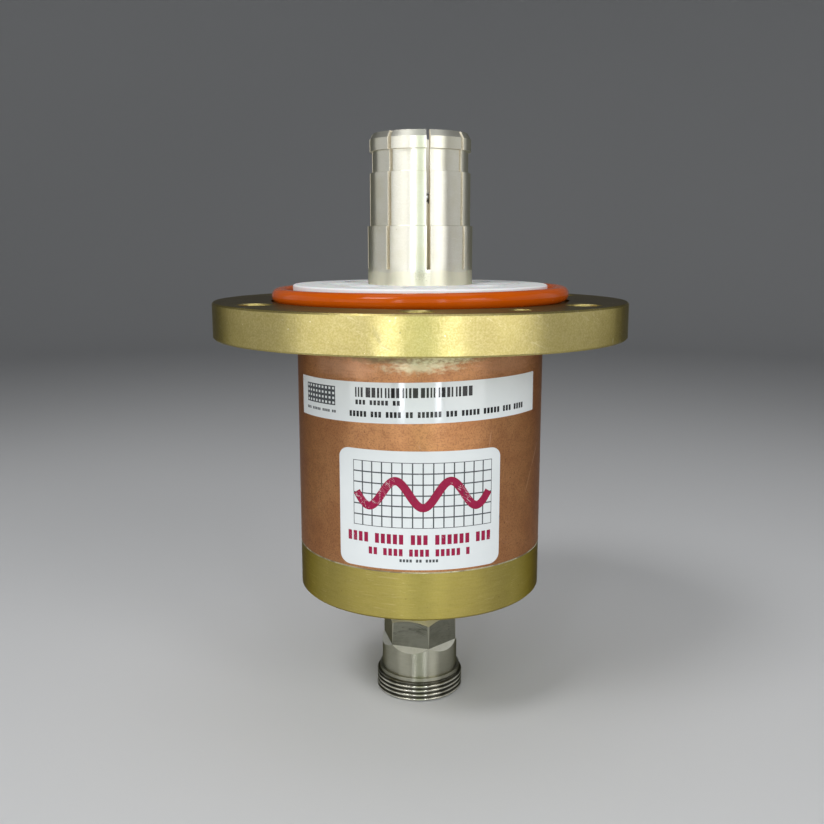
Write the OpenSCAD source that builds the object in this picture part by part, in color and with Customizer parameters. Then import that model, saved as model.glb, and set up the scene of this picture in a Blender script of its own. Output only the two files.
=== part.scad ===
// Rigid line coaxial adapter: a bolted flange with a sprung inner connector at
// the top, a soldered tube and end cap, and a small threaded connector below.
// Millimetres, +Z up. The origin is the centre of the flange's sealing face.

/* [Flange] */
// Outside diameter of the flange
flange_d = 132.1; // [128:0.1:145]
// Thickness of the flange
flange_t = 11.3; // [9.5:0.1:16]
// Chamfer on the flange's rim
flange_edge = 0.5; // [0.2:0.1:1.5]
// Place of the bolt circle, as a share of the way from the groove to the rim
bolt_place = 0.45; // [0.4:0.01:0.6]
// Angle of the first bolt hole from the front
bolt_turn = -0.9; // [-30:0.1:30]
// Number of bolt holes
bolt_count = 6; // [4:1:8]
// Diameter of a bolt hole
bolt_hole_d = 10.32; // [8:0.02:11]
// Diameter of the single dowel hole between two bolt holes
dowel_hole_d = 6; // [3:0.1:8]
// Chamfer at the mouth of each hole in the face
hole_edge = 0.3; // [0.1:0.05:0.6]
// Depth to which the tube enters the flange from below
socket_depth = 5.3; // [3:0.1:6]

/* [Face seal] */
// Thickness of the rubber ring
seal_section = 4.9; // [4:0.1:5.2]
// Diameter of the ring along the middle of its section
seal_mean_d = 90; // [89.5:0.1:92]
// Depth of the groove that the ring lies in
groove_depth = 0.95; // [0.5:0.05:2.4]
// Slack on each side of the ring in its groove
groove_slack = 0.25; // [0.05:0.05:0.4]
// Width of the land between the disc and the groove
seal_land = 1.5; // [1:0.1:3]
// Angle by which the loose ring is lifted on one side
seal_tilt = 0.42; // [0:0.02:0.6]

/* [Insulator] */
// Least width of the ledge that the disc sits on
disc_ledge = 2.25; // [1:0.05:4]
// Thickness of the disc
disc_t = 9.45; // [8:0.05:11]
// Height by which the disc stands above the flange's face
disc_proud = 5.05; // [4:0.05:6]
// Rounding chamfer on the disc's two rims
disc_edge = 0.4; // [0.1:0.1:1]
// Number of holes through the disc
disc_hole_count = 8; // [5:1:8]
// Diameter of a hole through the disc
disc_hole_d = 14.3; // [8:0.1:16]
// Diameter of the circle that the holes lie on
disc_hole_circle_d = 50.9; // [49:0.1:56]
// Angle of the first hole from the front
disc_hole_turn = 3; // [0:1:45]

/* [Sprung connector] */
// Diameter of the lowest step
base_d = 33.4; // [33:0.05:35]
// Height of the lowest step
base_h = 18.15; // [15:0.05:22]
// Diameter of the middle step
mid_d = 31.8; // [31.6:0.05:32.6]
// Height of the middle step
mid_h = 16.25; // [12:0.05:20]
// Diameter of the neck under the contact ring
neck_d = 30.3; // [29.6:0.05:31]
// Height of the neck
neck_h = 6.5; // [4:0.05:9]
// Diameter of the contact ring
ring_d = 31.9; // [31.6:0.05:32.4]
// Height of the contact ring
ring_h = 3.6; // [2:0.05:5]
// Diameter of the tip
tip_d = 29.9; // [29:0.05:31]
// Height of the tip's chamfer
tip_h = 1.9; // [1:0.05:3]
// Diameter of the bore between the fingers
finger_bore_d = 26.2; // [24:0.1:27]
// Number of sawn slots, an even number
slot_count = 8; // [4:2:12]
// Width of a slot
slot_w = 1.2; // [0.5:0.05:1.6]
// Height of the slots' lower end above the disc
slot_start = 4.9; // [4.6:0.05:8]
// Angle of the first slot from the front
slot_turn = 9; // [0:1:45]
// Thickness of the floor that the screw clamps
web_t = 4; // [3:0.1:4.4]
// Diameter of the spigot that passes through the disc
spigot_d = 16; // [12:0.1:20]

/* [Finger spring] */
// Thickness of the spring's wire
spring_wire_d = 2.7; // [2:0.05:3]
// Height of the spring above the disc
spring_height = 26.65; // [22:0.05:30]
// Depth of the groove that holds the spring
spring_seat = 0.35; // [0.2:0.05:0.6]
// Width of the gap in the spring
spring_gap = 5; // [2:0.5:10]

/* [Fixing screw] */
// Diameter of the screw's thread
screw_d = 6; // [5:0.1:6]
// Length of the screw under its head
screw_len = 30; // [26:0.5:33]
// Diameter of the screw's head
head_d = 10; // [9:0.1:12]
// Height of the screw's head
head_h = 6; // [5:0.1:8]
// Width of the key socket across its flats
key_af = 5; // [3:0.1:5.5]
// Diameter of the flat washer
washer_d = 12.5; // [12:0.1:16]
// Thickness of the flat washer
washer_t = 1.6; // [1:0.1:2.5]
// Diameter of the split washer
lock_d = 10.6; // [10:0.1:12]
// Thickness of the split washer
lock_t = 1.6; // [1:0.1:2.5]

/* [Tubes] */
// Outside diameter of the outer tube
tube_d = 79.38; // [78.6:0.02:80]
// Wall of the outer tube
tube_wall = 1.24; // [1:0.02:2]
// Length of the outer tube that shows between the flange and the cap
tube_show = 67.4; // [58:0.1:100]
// Chamfer on the tube's lower end, filled with solder
tube_edge = 0.4; // [0.2:0.05:0.6]
// Outside diameter of the inner tube
inner_d = 33.4; // [30:0.1:36]
// Wall of the inner tube
inner_wall = 1.07; // [0.8:0.01:1.5]
// Height of the shoulder on each of the inner tube's plugs
plug_shoulder = 4; // [3:0.1:6]
// Length of each plug inside the inner tube
plug_len = 14; // [8:0.1:16]
// Depth of the pocket in the upper plug for the connector's spigot
pocket_depth = 3; // [1:0.1:3.5]

/* [End cap] */
// Height of the cap below the tube
cap_h = 14.9; // [12:0.1:20]
// Chamfer on the cap's lower rim
cap_edge = 0.6; // [0.2:0.1:2]
// Height of the cap's spigot inside the tube
cap_spigot_h = 8; // [4:0.1:12]
// Wall of the cap's spigot
cap_spigot_wall = 2.4; // [1.5:0.1:4]
// Thickness of the cap's floor
cap_floor_t = 11.6; // [10:0.1:11.8]
// Diameter of the hub where it leaves the cap
hub_root_d = 38; // [28:0.5:60]
// Wall of the hub round its bore at the hub's end
hub_wall = 0.95; // [0.7:0.05:1.5]
// Length of the hub
hub_len = 12.1; // [8:0.1:20]
// Thickness of the lip above the upper bead
lip_t = 3; // [1.5:0.1:4]

/* [Step in the inner conductor] */
// Length of the cone that leads down to the small connector
nose_len = 10; // [6:0.1:16]
// Diameter of the cone's small end
nose_d = 12; // [9:0.1:15]
// Air gap between the cone's end and the cap's floor
step_gap = 2; // [1:0.1:4]

/* [Small connector] */
// Diameter of the line bore in the small connector
line_bore_d = 14.8; // [14:0.1:16]
// Diameter of the threaded neck in the cap
neck_thread_d = 19; // [18.4:0.1:19.6]
// Diameter of the round body
body_d = 25.4; // [24.8:0.1:26]
// Width across the hexagon's flats
hex_af = 22; // [21.6:0.1:22.5]
// Length of the hexagon's flats
hex_len = 9.2; // [6:0.1:14]
// Angle of the hexagon's front corner
hex_turn = 14; // [0:1:59]
// Diameter of the hexagon's top face inside its chamfer
hex_face_d = 20.8; // [20.2:0.1:21.2]
// Angle of the hexagon's top chamfer
hex_chamfer = 33; // [20:1:45]
// Length of the body between the hexagon and the thread
body_len = 9.9; // [6:0.1:16]
// Diameter of the plain land above the thread
land_d = 27.2; // [26.4:0.1:28.4]
// Length of the land
land_len = 1.1; // [0.6:0.1:3]
// Outside diameter of the coupling thread
thread_d = 29; // [28.6:0.1:30]
// Length of the coupling thread
thread_len = 6.8; // [5:0.1:9]
// Chamfer at each end of the coupling thread
thread_edge = 0.9; // [0.4:0.1:1.2]
// Diameter of the mouth
mouth_d = 18.1; // [17.6:0.1:19]
// Depth of the mouth
mouth_depth = 8.5; // [7:0.1:10]
// Chamfer at the rim of the mouth
mouth_edge = 0.3; // [0.1:0.05:0.6]

/* [Small connector's inside] */
// Diameter of the two insulating beads' inner conductor
pin_d = 6.4; // [5.8:0.1:6.6]
// Thickness of the upper bead
rear_bead_t = 5; // [3:0.1:5.5]
// Thickness of the lower bead
front_bead_t = 4.5; // [3:0.1:6]
// Width of the seat that holds the lower bead, each side
bead_seat = 0.55; // [0.3:0.05:0.7]
// Height of the ring that retains the lower bead
keeper_h = 2.7; // [1.5:0.1:4]
// Outside diameter of the contact's sprung socket
socket_d = 9; // [8.8:0.1:9.1]
// Bore of the contact's socket
socket_bore_d = 7; // [6.6:0.1:7.2]
// Distance from the end of the contact's bore to the lower bead
socket_web = 0.4; // [0.3:0.1:4]
// Distance from the connector's rim back to the contact's tip
socket_recess = 1.8; // [0.5:0.1:3]
// Number of slots in the contact's socket, an even number
socket_slots = 4; // [2:2:6]
// Width of a slot in the contact's socket
socket_slot_w = 0.8; // [0.4:0.05:1]
// Length of the slots in the contact's socket
socket_slot_len = 7.5; // [4:0.1:8.5]
// Diameter of the stud on the contact
stud_d = 5; // [4:0.1:5.5]
// Length of the stud
stud_len = 7.5; // [5:0.1:9]

/* [Solder] */
// Leg of the solder fillet under the flange
fillet_leg = 1.5; // [0.8:0.1:2.5]
// Height by which the solder at the cap stands proud of the tube
solder_proud = 0.05; // [0:0.01:0.2]

/* [Labels] */
// Thickness of a label
label_t = 0.12; // [0.1:0.01:0.3]
// Height of the strip label
strip_h = 12; // [8:0.1:16]
// Height of the strip's middle below the flange's face
strip_drop = 27.4; // [24:0.1:30]
// Angle from the front to the strip's left end
strip_left = 65.7; // [50:0.1:80]
// Angle from the front to the strip's right end
strip_right = 60.9; // [50:0.1:80]
// Angle by which the strip was stuck on askew
strip_tilt = 1.2; // [0:0.1:3]
// Width of the front label, measured straight across
front_w = 48; // [30:0.1:60]
// Height of the front label
front_h = 36; // [24:0.1:37]
// Radius of the front label's corners
front_corner = 3; // [1:0.1:8]
// Gap between the front label and the cap
front_rise = 1.1; // [0.5:0.1:3]

/* [Clearances] */
// Gap around a piece that is pushed or soldered into another
fit_gap = 0.05; // [0.02:0.01:0.08]
// Gap around the insulating disc in the flange
disc_gap = 0.1; // [0.05:0.01:0.2]
// Gap around the screw where it passes through the connector
screw_gap = 0.3; // [0.1:0.05:0.5]

/* [Hidden] */

$fn = 120;
eps = 0.01;
far = 200;

tube_r = tube_d / 2;
line_r = tube_r - tube_wall;
inner_r = inner_d / 2;
inner_bore_r = inner_r - inner_wall;
body_r = body_d / 2;
line_bore_r = line_bore_d / 2;
neck_seat_r = neck_thread_d / 2 + fit_gap;

groove_in = (seal_mean_d - seal_section) / 2 - groove_slack;
groove_out = (seal_mean_d + seal_section) / 2 + groove_slack;
seat_r = groove_in - seal_land;
disc_r = seat_r - disc_gap;
throat_r = min(line_r, disc_r - disc_ledge);
rim_r = flange_d / 2;
bolt_circle_r = groove_out + (rim_r - groove_out) * bolt_place;

recess_depth = disc_t - disc_proud;
socket_z = -flange_t + socket_depth;
seam_z = -flange_t - tube_show;
cap_z = seam_z - cap_h;
floor_z = cap_z + cap_floor_t;
hub_z = cap_z - hub_len;

web_z = disc_proud + web_t;
mid_z = disc_proud + base_h;
neck_z = mid_z + mid_h;
ring_z = neck_z + neck_h;
tip_z = ring_z + ring_h;
top_z = tip_z + tip_h;
spring_z = disc_proud + spring_height;
head_z = web_z + washer_t + lock_t;
pocket_z = -recess_depth - pocket_depth;

nose_z = floor_z + step_gap;
shoulder_z = nose_z + nose_len + plug_shoulder;
inner_top_z = -recess_depth - plug_shoulder;

rear_bead_z = floor_z - lip_t;
neck_top_z = rear_bead_z - rear_bead_t;
flat_z = hub_z - hex_len;
land_z = flat_z - body_len;
thread_z = land_z - land_len;
mouth_z = thread_z - thread_len;
butt_z = mouth_z + mouth_depth;
keeper_z = butt_z + keeper_h;
front_bead_z = keeper_z + front_bead_t;
front_seat_r = line_bore_r + bead_seat;
socket_tip_z = mouth_z + socket_recess;
socket_root_z = keeper_z;

// Points of a hollow round section, from four sizes
function ring_section(r_in, r_out, low, high) = [
    [r_in, low], [r_out, low], [r_out, high], [r_in, high]
];

// Plain ring or tube
module ring(r_in, r_out, low, high) {
    rotate_extrude() polygon(ring_section(r_in, r_out, low, high));
}

// Solid cylinder between two heights
module rod(r, low, high) {
    translate([0, 0, low]) cylinder(r = r, h = high - low);
}

// Slots across a round wall, cut from edge to edge through the middle
module cross_slots(count, turn, width, low, high) {
    for (i = [0 : count / 2 - 1])
        rotate(turn + i * 360 / count)
            translate([-width / 2, -far / 2, low]) cube([width, far, high - low]);
}

// Hole down from the flange's face with a chamfered mouth
module face_hole(d) {
    rod(d / 2, -flange_t - eps, eps);
    translate([0, 0, -hole_edge])
        cylinder(r1 = d / 2, r2 = d / 2 + hole_edge + eps, h = hole_edge + eps);
}

module flange() {
    color("darkkhaki")
    difference() {
        rotate_extrude() polygon([
            [throat_r, socket_z], [tube_r + fit_gap, socket_z],
            [tube_r + fit_gap, -flange_t], [rim_r - flange_edge, -flange_t],
            [rim_r, -flange_t + flange_edge], [rim_r, -flange_edge],
            [rim_r - flange_edge, 0], [groove_out, 0],
            [groove_out, -groove_depth], [groove_in, -groove_depth],
            [groove_in, 0], [seat_r, 0], [seat_r, -recess_depth],
            [throat_r, -recess_depth]
        ]);
        for (i = [0 : bolt_count - 1])
            rotate(bolt_turn + i * 360 / bolt_count)
                translate([0, -bolt_circle_r, 0]) face_hole(bolt_hole_d);
        rotate(bolt_turn + 180 / bolt_count)
            translate([0, -bolt_circle_r, 0]) face_hole(dowel_hole_d);
    }
}

module outer_tube() {
    color("peru")
    rotate_extrude() polygon([
        [line_r, seam_z], [tube_r - tube_edge, seam_z],
        [tube_r, seam_z + tube_edge], [tube_r, socket_z], [line_r, socket_z]
    ]);
}

module end_cap() {
    spigot_r = line_r - fit_gap;
    cup_r = spigot_r - cap_spigot_wall;
    color("darkkhaki")
    rotate_extrude() polygon([
        [line_bore_r, floor_z], [line_bore_r, rear_bead_z],
        [neck_seat_r, rear_bead_z], [neck_seat_r, hub_z],
        [neck_seat_r + hub_wall, hub_z], [hub_root_d / 2, cap_z],
        [tube_r - cap_edge, cap_z], [tube_r, cap_z + cap_edge],
        [tube_r, seam_z], [spigot_r, seam_z],
        [spigot_r, seam_z + cap_spigot_h], [cup_r, seam_z + cap_spigot_h],
        [cup_r, floor_z]
    ]);
}

// Concave fillet in the corner between the flange and the tube
module flange_solder() {
    arc = [for (a = [0 : 15 : 90])
        [tube_r + fillet_leg * (1 - sin(a)), -flange_t - fillet_leg * (1 - cos(a))]];
    color("silver")
    rotate_extrude() polygon(concat([[tube_r, -flange_t]], arc));
}

module cap_solder() {
    color("silver")
    rotate_extrude() polygon([
        [tube_r - tube_edge, seam_z], [tube_r + solder_proud, seam_z],
        [tube_r + solder_proud, seam_z + tube_edge], [tube_r, seam_z + tube_edge]
    ]);
}

// The ring lies on its groove's floor at the left and is lifted at the right
module face_seal() {
    section_r = seal_section / 2;
    mean_r = seal_mean_d / 2;
    color("orangered")
    translate([0, 0, -groove_depth + section_r + mean_r * sin(seal_tilt)])
        rotate([0, -seal_tilt, 0])
            rotate_extrude() translate([mean_r, 0]) circle(r = section_r, $fn = 48);
}

module anchor_insulator() {
    bore_r = spigot_d / 2 + fit_gap;
    color("white")
    difference() {
        rotate_extrude() polygon([
            [bore_r, -recess_depth], [disc_r - disc_edge, -recess_depth],
            [disc_r, -recess_depth + disc_edge], [disc_r, disc_proud - disc_edge],
            [disc_r - disc_edge, disc_proud], [bore_r, disc_proud]
        ]);
        for (i = [0 : disc_hole_count - 1])
            rotate(disc_hole_turn + i * 360 / disc_hole_count)
                translate([0, -disc_hole_circle_d / 2, 0])
                    rod(disc_hole_d / 2, -recess_depth - eps, disc_proud + eps);
    }
}

module bullet() {
    bore_r = finger_bore_d / 2;
    seat_r = bore_r + spring_seat;
    seat_h = spring_wire_d + 2 * fit_gap;
    hole_r = screw_d / 2 + screw_gap;
    color("silver")
    difference() {
        rotate_extrude() polygon([
            [hole_r, pocket_z], [spigot_d / 2, pocket_z],
            [spigot_d / 2, disc_proud], [base_d / 2, disc_proud],
            [base_d / 2, mid_z], [mid_d / 2, mid_z], [mid_d / 2, neck_z],
            [neck_d / 2, neck_z], [neck_d / 2, ring_z], [ring_d / 2, ring_z],
            [ring_d / 2, tip_z], [tip_d / 2, top_z], [bore_r, top_z],
            [bore_r, spring_z + seat_h / 2], [seat_r, spring_z + seat_h / 2],
            [seat_r, spring_z - seat_h / 2], [bore_r, spring_z - seat_h / 2],
            [bore_r, web_z], [hole_r, web_z]
        ]);
        cross_slots(slot_count, slot_turn, slot_w, disc_proud + slot_start, top_z + eps);
    }
}

// Open wire ring that presses the fingers outwards
module finger_spring() {
    wire_r = spring_wire_d / 2;
    mean_r = finger_bore_d / 2 + spring_seat - fit_gap - wire_r;
    color("gray")
    translate([0, 0, spring_z])
        difference() {
            rotate_extrude() translate([mean_r, 0]) circle(r = wire_r, $fn = 32);
            translate([-spring_gap / 2, 0, -spring_wire_d])
                cube([spring_gap, far, 2 * spring_wire_d]);
        }
}

module fixing_screw() {
    key_depth = head_h / 2;
    color("dimgray")
    difference() {
        union() {
            rod(screw_d / 2, head_z - screw_len, head_z);
            rod(head_d / 2, head_z, head_z + head_h);
        }
        translate([0, 0, head_z + head_h - key_depth])
            cylinder(r = key_af / 2 / cos(30), h = key_depth + eps, $fn = 6);
    }
}

module flat_washer() {
    color("lightgray")
    ring(screw_d / 2 + screw_gap, washer_d / 2, web_z, web_z + washer_t);
}

module split_washer() {
    color("gray")
    difference() {
        ring(screw_d / 2 + fit_gap, lock_d / 2, web_z + washer_t, head_z);
        translate([-slot_w / 2, 0, web_z]) cube([slot_w, far, far]);
    }
}

module inner_tube() {
    color("peru")
    ring(inner_bore_r, inner_r, shoulder_z, inner_top_z);
}

// Upper plug of the inner tube, tapped for the fixing screw
module upper_plug() {
    plug_r = inner_bore_r - fit_gap;
    tap_r = screw_d / 2 + fit_gap;
    pocket_r = spigot_d / 2 + fit_gap;
    color("goldenrod")
    rotate_extrude() polygon([
        [tap_r, inner_top_z - plug_len], [plug_r, inner_top_z - plug_len],
        [plug_r, inner_top_z], [inner_r, inner_top_z],
        [inner_r, -recess_depth], [pocket_r, -recess_depth],
        [pocket_r, pocket_z], [tap_r, pocket_z]
    ]);
}

// Lower plug of the inner tube, coned down to the small connector
module step_plug() {
    plug_r = inner_bore_r - fit_gap;
    tap_r = stud_d / 2 + fit_gap;
    tap_z = nose_z + stud_len + fit_gap;
    color("goldenrod")
    rotate_extrude() polygon([
        [tap_r, nose_z], [nose_d / 2, nose_z],
        [inner_r, nose_z + nose_len], [inner_r, shoulder_z],
        [plug_r, shoulder_z], [plug_r, shoulder_z + plug_len],
        [0, shoulder_z + plug_len], [0, tap_z], [tap_r, tap_z]
    ]);
}

// Cutter for one milled flat that runs out at 45 degrees
module flat_cutter() {
    run = body_r;
    translate([0, -body_r, 0]) rotate([90, 0, 90])
        translate([0, 0, -body_d])
            linear_extrude(2 * body_d) polygon([
                [body_r - hex_af / 2, hub_z + eps], [-body_r, hub_z + eps],
                [-body_r, flat_z - run], [body_r - hex_af / 2 - run, flat_z - run],
                [body_r - hex_af / 2, flat_z]
            ]);
}

module din_shell() {
    face_r = hex_face_d / 2;
    chamfer_h = (body_r - face_r) * tan(hex_chamfer);
    thread_r = thread_d / 2;
    mouth_r = mouth_d / 2;
    color("gray")
    difference() {
        rotate_extrude() polygon([
            [line_bore_r, neck_top_z], [line_bore_r, front_bead_z],
            [front_seat_r, front_bead_z], [front_seat_r, butt_z],
            [mouth_r, butt_z], [mouth_r, mouth_z + mouth_edge],
            [mouth_r + mouth_edge, mouth_z], [thread_r - thread_edge, mouth_z],
            [thread_r, mouth_z + thread_edge / 2],
            [thread_r, thread_z - (thread_r - land_d / 2) / 2],
            [land_d / 2, thread_z], [land_d / 2, land_z], [body_r, land_z],
            [body_r, hub_z - chamfer_h], [face_r, hub_z],
            [neck_thread_d / 2, hub_z], [neck_thread_d / 2, neck_top_z]
        ]);
        for (i = [0 : 5])
            rotate(hex_turn + 30 + 60 * i) flat_cutter();
    }
}

module din_rear_bead() {
    color("white")
    ring(pin_d / 2 + fit_gap, neck_seat_r - fit_gap, neck_top_z, rear_bead_z);
}

module din_front_bead() {
    color("white")
    ring(pin_d / 2 + fit_gap, front_seat_r - fit_gap, keeper_z, front_bead_z);
}

module din_bead_keeper() {
    color("silver")
    ring(line_bore_r, front_seat_r - fit_gap, butt_z, keeper_z);
}

// Stud, pin and sprung socket, turned from one rod
module din_contact() {
    color("silver")
    difference() {
        rotate_extrude() polygon([
            [0, nose_z + stud_len], [stud_d / 2, nose_z + stud_len],
            [stud_d / 2, nose_z], [pin_d / 2, nose_z],
            [pin_d / 2, socket_root_z], [socket_d / 2, socket_root_z],
            [socket_d / 2, socket_tip_z], [socket_bore_d / 2, socket_tip_z],
            [socket_bore_d / 2, socket_root_z - socket_web],
            [0, socket_root_z - socket_web]
        ]);
        cross_slots(socket_slots, slot_turn, socket_slot_w, socket_tip_z - eps,
            socket_tip_z + socket_slot_len);
    }
}

// Skin on the tube, cut out by its children
module label_skin() {
    color("whitesmoke")
    intersection() {
        ring(tube_r, tube_r + label_t, seam_z, -flange_t);
        children();
    }
}

// Wedge from the tube's axis, from one angle to another off the front
module wedge(left, right, height) {
    translate([0, 0, -height / 2])
        linear_extrude(height) polygon([
            [0, 0],
            [-far * sin(left), -far * cos(left)],
            [0, -far],
            [far * sin(right), -far * cos(right)]
        ]);
}

module strip_label() {
    label_skin()
        translate([0, 0, -strip_drop])
            rotate([0, -strip_tilt, 0]) wedge(strip_left, strip_right, strip_h);
}

// Rectangle with round corners, standing up and reaching forward
module front_outline(w, h, r) {
    rotate([90, 0, 0]) linear_extrude(far) union() {
        square([w - 2 * r, h], center = true);
        square([w, h - 2 * r], center = true);
        for (x = [-1, 1], y = [-1, 1])
            translate([x * (w / 2 - r), y * (h / 2 - r)]) circle(r = r, $fn = 48);
    }
}

module front_label() {
    label_skin()
        translate([0, 0, seam_z + front_rise + front_h / 2])
            front_outline(front_w, front_h, front_corner);
}

flange();
outer_tube();
end_cap();
flange_solder();
cap_solder();
face_seal();
anchor_insulator();
bullet();
finger_spring();
fixing_screw();
flat_washer();
split_washer();
inner_tube();
upper_plug();
step_plug();
din_shell();
din_rear_bead();
din_front_bead();
din_bead_keeper();
din_contact();
strip_label();
front_label();
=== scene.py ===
"""Rigid line coaxial adapter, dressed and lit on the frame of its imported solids.

Lengths in the adapter's own classes are millimetres in the frame of the solids: the
origin is the centre of the flange's sealing face, +Z runs to the sprung connector and
-Y is the labelled front. Azimuths are degrees from the front towards +X. The studio's
lengths are metres.
"""
import logging
import math
from dataclasses import dataclass
from enum import Enum

import bmesh
import bpy
from mathutils import Matrix, Vector


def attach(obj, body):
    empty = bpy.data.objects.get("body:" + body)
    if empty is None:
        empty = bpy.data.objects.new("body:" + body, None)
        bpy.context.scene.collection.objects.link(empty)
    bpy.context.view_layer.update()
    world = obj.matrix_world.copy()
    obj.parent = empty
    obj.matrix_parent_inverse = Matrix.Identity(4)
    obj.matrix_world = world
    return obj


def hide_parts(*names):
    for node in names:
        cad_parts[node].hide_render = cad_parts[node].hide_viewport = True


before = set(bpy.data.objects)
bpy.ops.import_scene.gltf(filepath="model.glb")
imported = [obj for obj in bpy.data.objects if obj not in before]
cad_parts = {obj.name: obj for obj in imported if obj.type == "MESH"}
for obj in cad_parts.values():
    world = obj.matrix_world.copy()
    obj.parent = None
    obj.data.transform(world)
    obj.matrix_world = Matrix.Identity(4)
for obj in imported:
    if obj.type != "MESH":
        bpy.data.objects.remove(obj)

# Lengths in metres: a millimetre, the least gap between points and the least distance.
MM = 0.001
WELD = 1e-6
TINY = 1e-7
# Faces of a round surface, the least angle at an eased edge, and the least upright part
# of a direction that counts as one along the axis.
ROUND_STEPS = 96
SHARP_EDGE = math.radians(25)
ACROSS_AXIS = 0.9
# How much the paler areas of an ink gain on its colour, as a factor and as a sum.
PALER = (1.3, 0.01)
# The spread in degrees of a lamp that lights all round it.
WIDE_BEAM = 160.0
LOG = logging.getLogger("adapter")

Colour = tuple[float, float, float]
Point = tuple[float, float, float]
Pair = tuple[float, float]
Socket = bpy.types.NodeSocket
BMesh = bmesh.types.BMesh
BMFace = bmesh.types.BMFace


def rgba(colour: Colour) -> tuple[float, float, float, float]:
    """Return a colour with full opacity, as a colour socket takes it."""
    return (*colour, 1.0)


def on_round(radius: float, azimuth: float, height: float) -> Vector:
    """Return the point in metres at a radius, an azimuth and a height."""
    turn = math.radians(azimuth)
    return Vector((radius * math.sin(turn), -radius * math.cos(turn), height)) * MM


class Graph:
    """Places and links the nodes of one shader tree."""

    def __init__(self, tree: bpy.types.NodeTree) -> None:
        """Work on a tree and keep what it already holds."""
        self.tree = tree

    def put(self, kind: str, inputs: dict | None = None, **settings: object) -> bpy.types.Node:
        """Add a node to the tree.

        Args:
            kind: the node's type, without the prefix that shader nodes have.
            inputs: for each input, by name or place, its value or what feeds it.
            settings: values of the node's own properties.

        Returns:
            The new node.
        """
        prefix = "" if kind.startswith("NodeGroup") else "ShaderNode"
        node = self.tree.nodes.new(prefix + kind)
        for name, value in settings.items():
            setattr(node, name, value)
        for key, value in (inputs or {}).items():
            self.feed(node.inputs[key], value)
        return node

    def feed(self, entry: Socket, value: object) -> None:
        """Link an input to what feeds it, or set its value.

        Args:
            entry: the input.
            value: another node's output, or a plain value.
        """
        if isinstance(value, Socket):
            self.tree.links.new(value, entry)
        else:
            entry.default_value = value

    def math(self, operation: str, *terms: float | Socket, clamp: bool = False) -> Socket:
        """Combine numbers with one arithmetic operation and return the result."""
        node = self.put("Math", dict(enumerate(terms)), operation=operation, use_clamp=clamp)
        return node.outputs[0]

    def vector(self, operation: str, *terms: Socket, output: int | str = 0,
               **named: object) -> Socket:
        """Combine vectors with one operation and return one of its outputs."""
        inputs = {**dict(enumerate(terms)), **named}
        return self.put("VectorMath", inputs, operation=operation).outputs[output]

    def smooth(self, value: Socket, start: float | Socket, end: float | Socket) -> Socket:
        """Return 0 before start, 1 past end and a smooth step in between."""
        inputs = {"Value": value, "From Min": start, "From Max": end}
        return self.put("MapRange", inputs, interpolation_type="SMOOTHSTEP").outputs["Result"]

    # A Mix node has sockets of the same name for each kind of data, so they go by place.
    def blend(self, share: float | Socket, first: object, second: object) -> Socket:
        """Return a colour between two, by the share of the second."""
        return self.put("Mix", {0: share, 6: first, 7: second}, data_type="RGBA").outputs[2]

    def between(self, share: float | Socket, first: object, second: object) -> Socket:
        """Return a number between two, by the share of the second."""
        return self.put("Mix", {0: share, 2: first, 3: second}, data_type="FLOAT").outputs[0]


@dataclass(frozen=True)
class Place:
    """Sockets that say where a point of a piece lies, in millimetres and degrees."""

    LEAST_RADIUS = 0.01

    point: Socket
    x: Socket
    y: Socket
    z: Socket
    radius: Socket
    azimuth: Socket

    @classmethod
    def read(cls, graph: Graph) -> "Place":
        """Read the place from the piece's own coordinates.

        Args:
            graph: the tree that the nodes go into.

        Returns:
            The place's sockets.
        """
        metres = graph.put("TexCoord").outputs["Object"]
        point = graph.vector("SCALE", metres, Scale=1.0 / MM)
        x, y, z = graph.put("SeparateXYZ", {0: point}).outputs
        squares = graph.math("ADD", graph.math("MULTIPLY", x, x), graph.math("MULTIPLY", y, y))
        radius = graph.math("MAXIMUM", graph.math("SQRT", squares), cls.LEAST_RADIUS)
        turn = graph.math("ARCTAN2", x, graph.math("MULTIPLY", y, -1.0))
        return cls(point, x, y, z, radius, graph.math("DEGREES", turn))


class Effect(Enum):
    """Effects that finishes share: the name and the inputs of each one's node group."""

    TURNING = ("Turning marks", ("Pitch", "Round", "Across"))
    BLOTCHES = ("Blotches", ("Size", "Low", "High", "Detail"))
    SPECKS = ("Specks", ("Spacing", "Size", "Share"))
    SCRATCHES = ("Fine scratches", ("Spacing", "Length", "Width", "Share", "Tilt"))
    PATCH = ("Patch", ("Azimuth", "Height", "Half Width", "Half Height", "Ragged", "Grain",
                       "Stretch", "Soft"))
    STROKE = ("Single scratch", ("Azimuth A", "Height A", "Azimuth B", "Height B", "Width"))
    BAND = ("Band of heights", ("Low", "High", "Soft", "Ragged", "Grain"))
    RADIAL_BAND = ("Band of radii", ("Low", "High", "Soft"))

    def __init__(self, title: str, inputs: tuple[str, ...]) -> None:
        """Keep the group's name and its inputs in their order."""
        self.title, self.inputs = title, inputs


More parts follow.
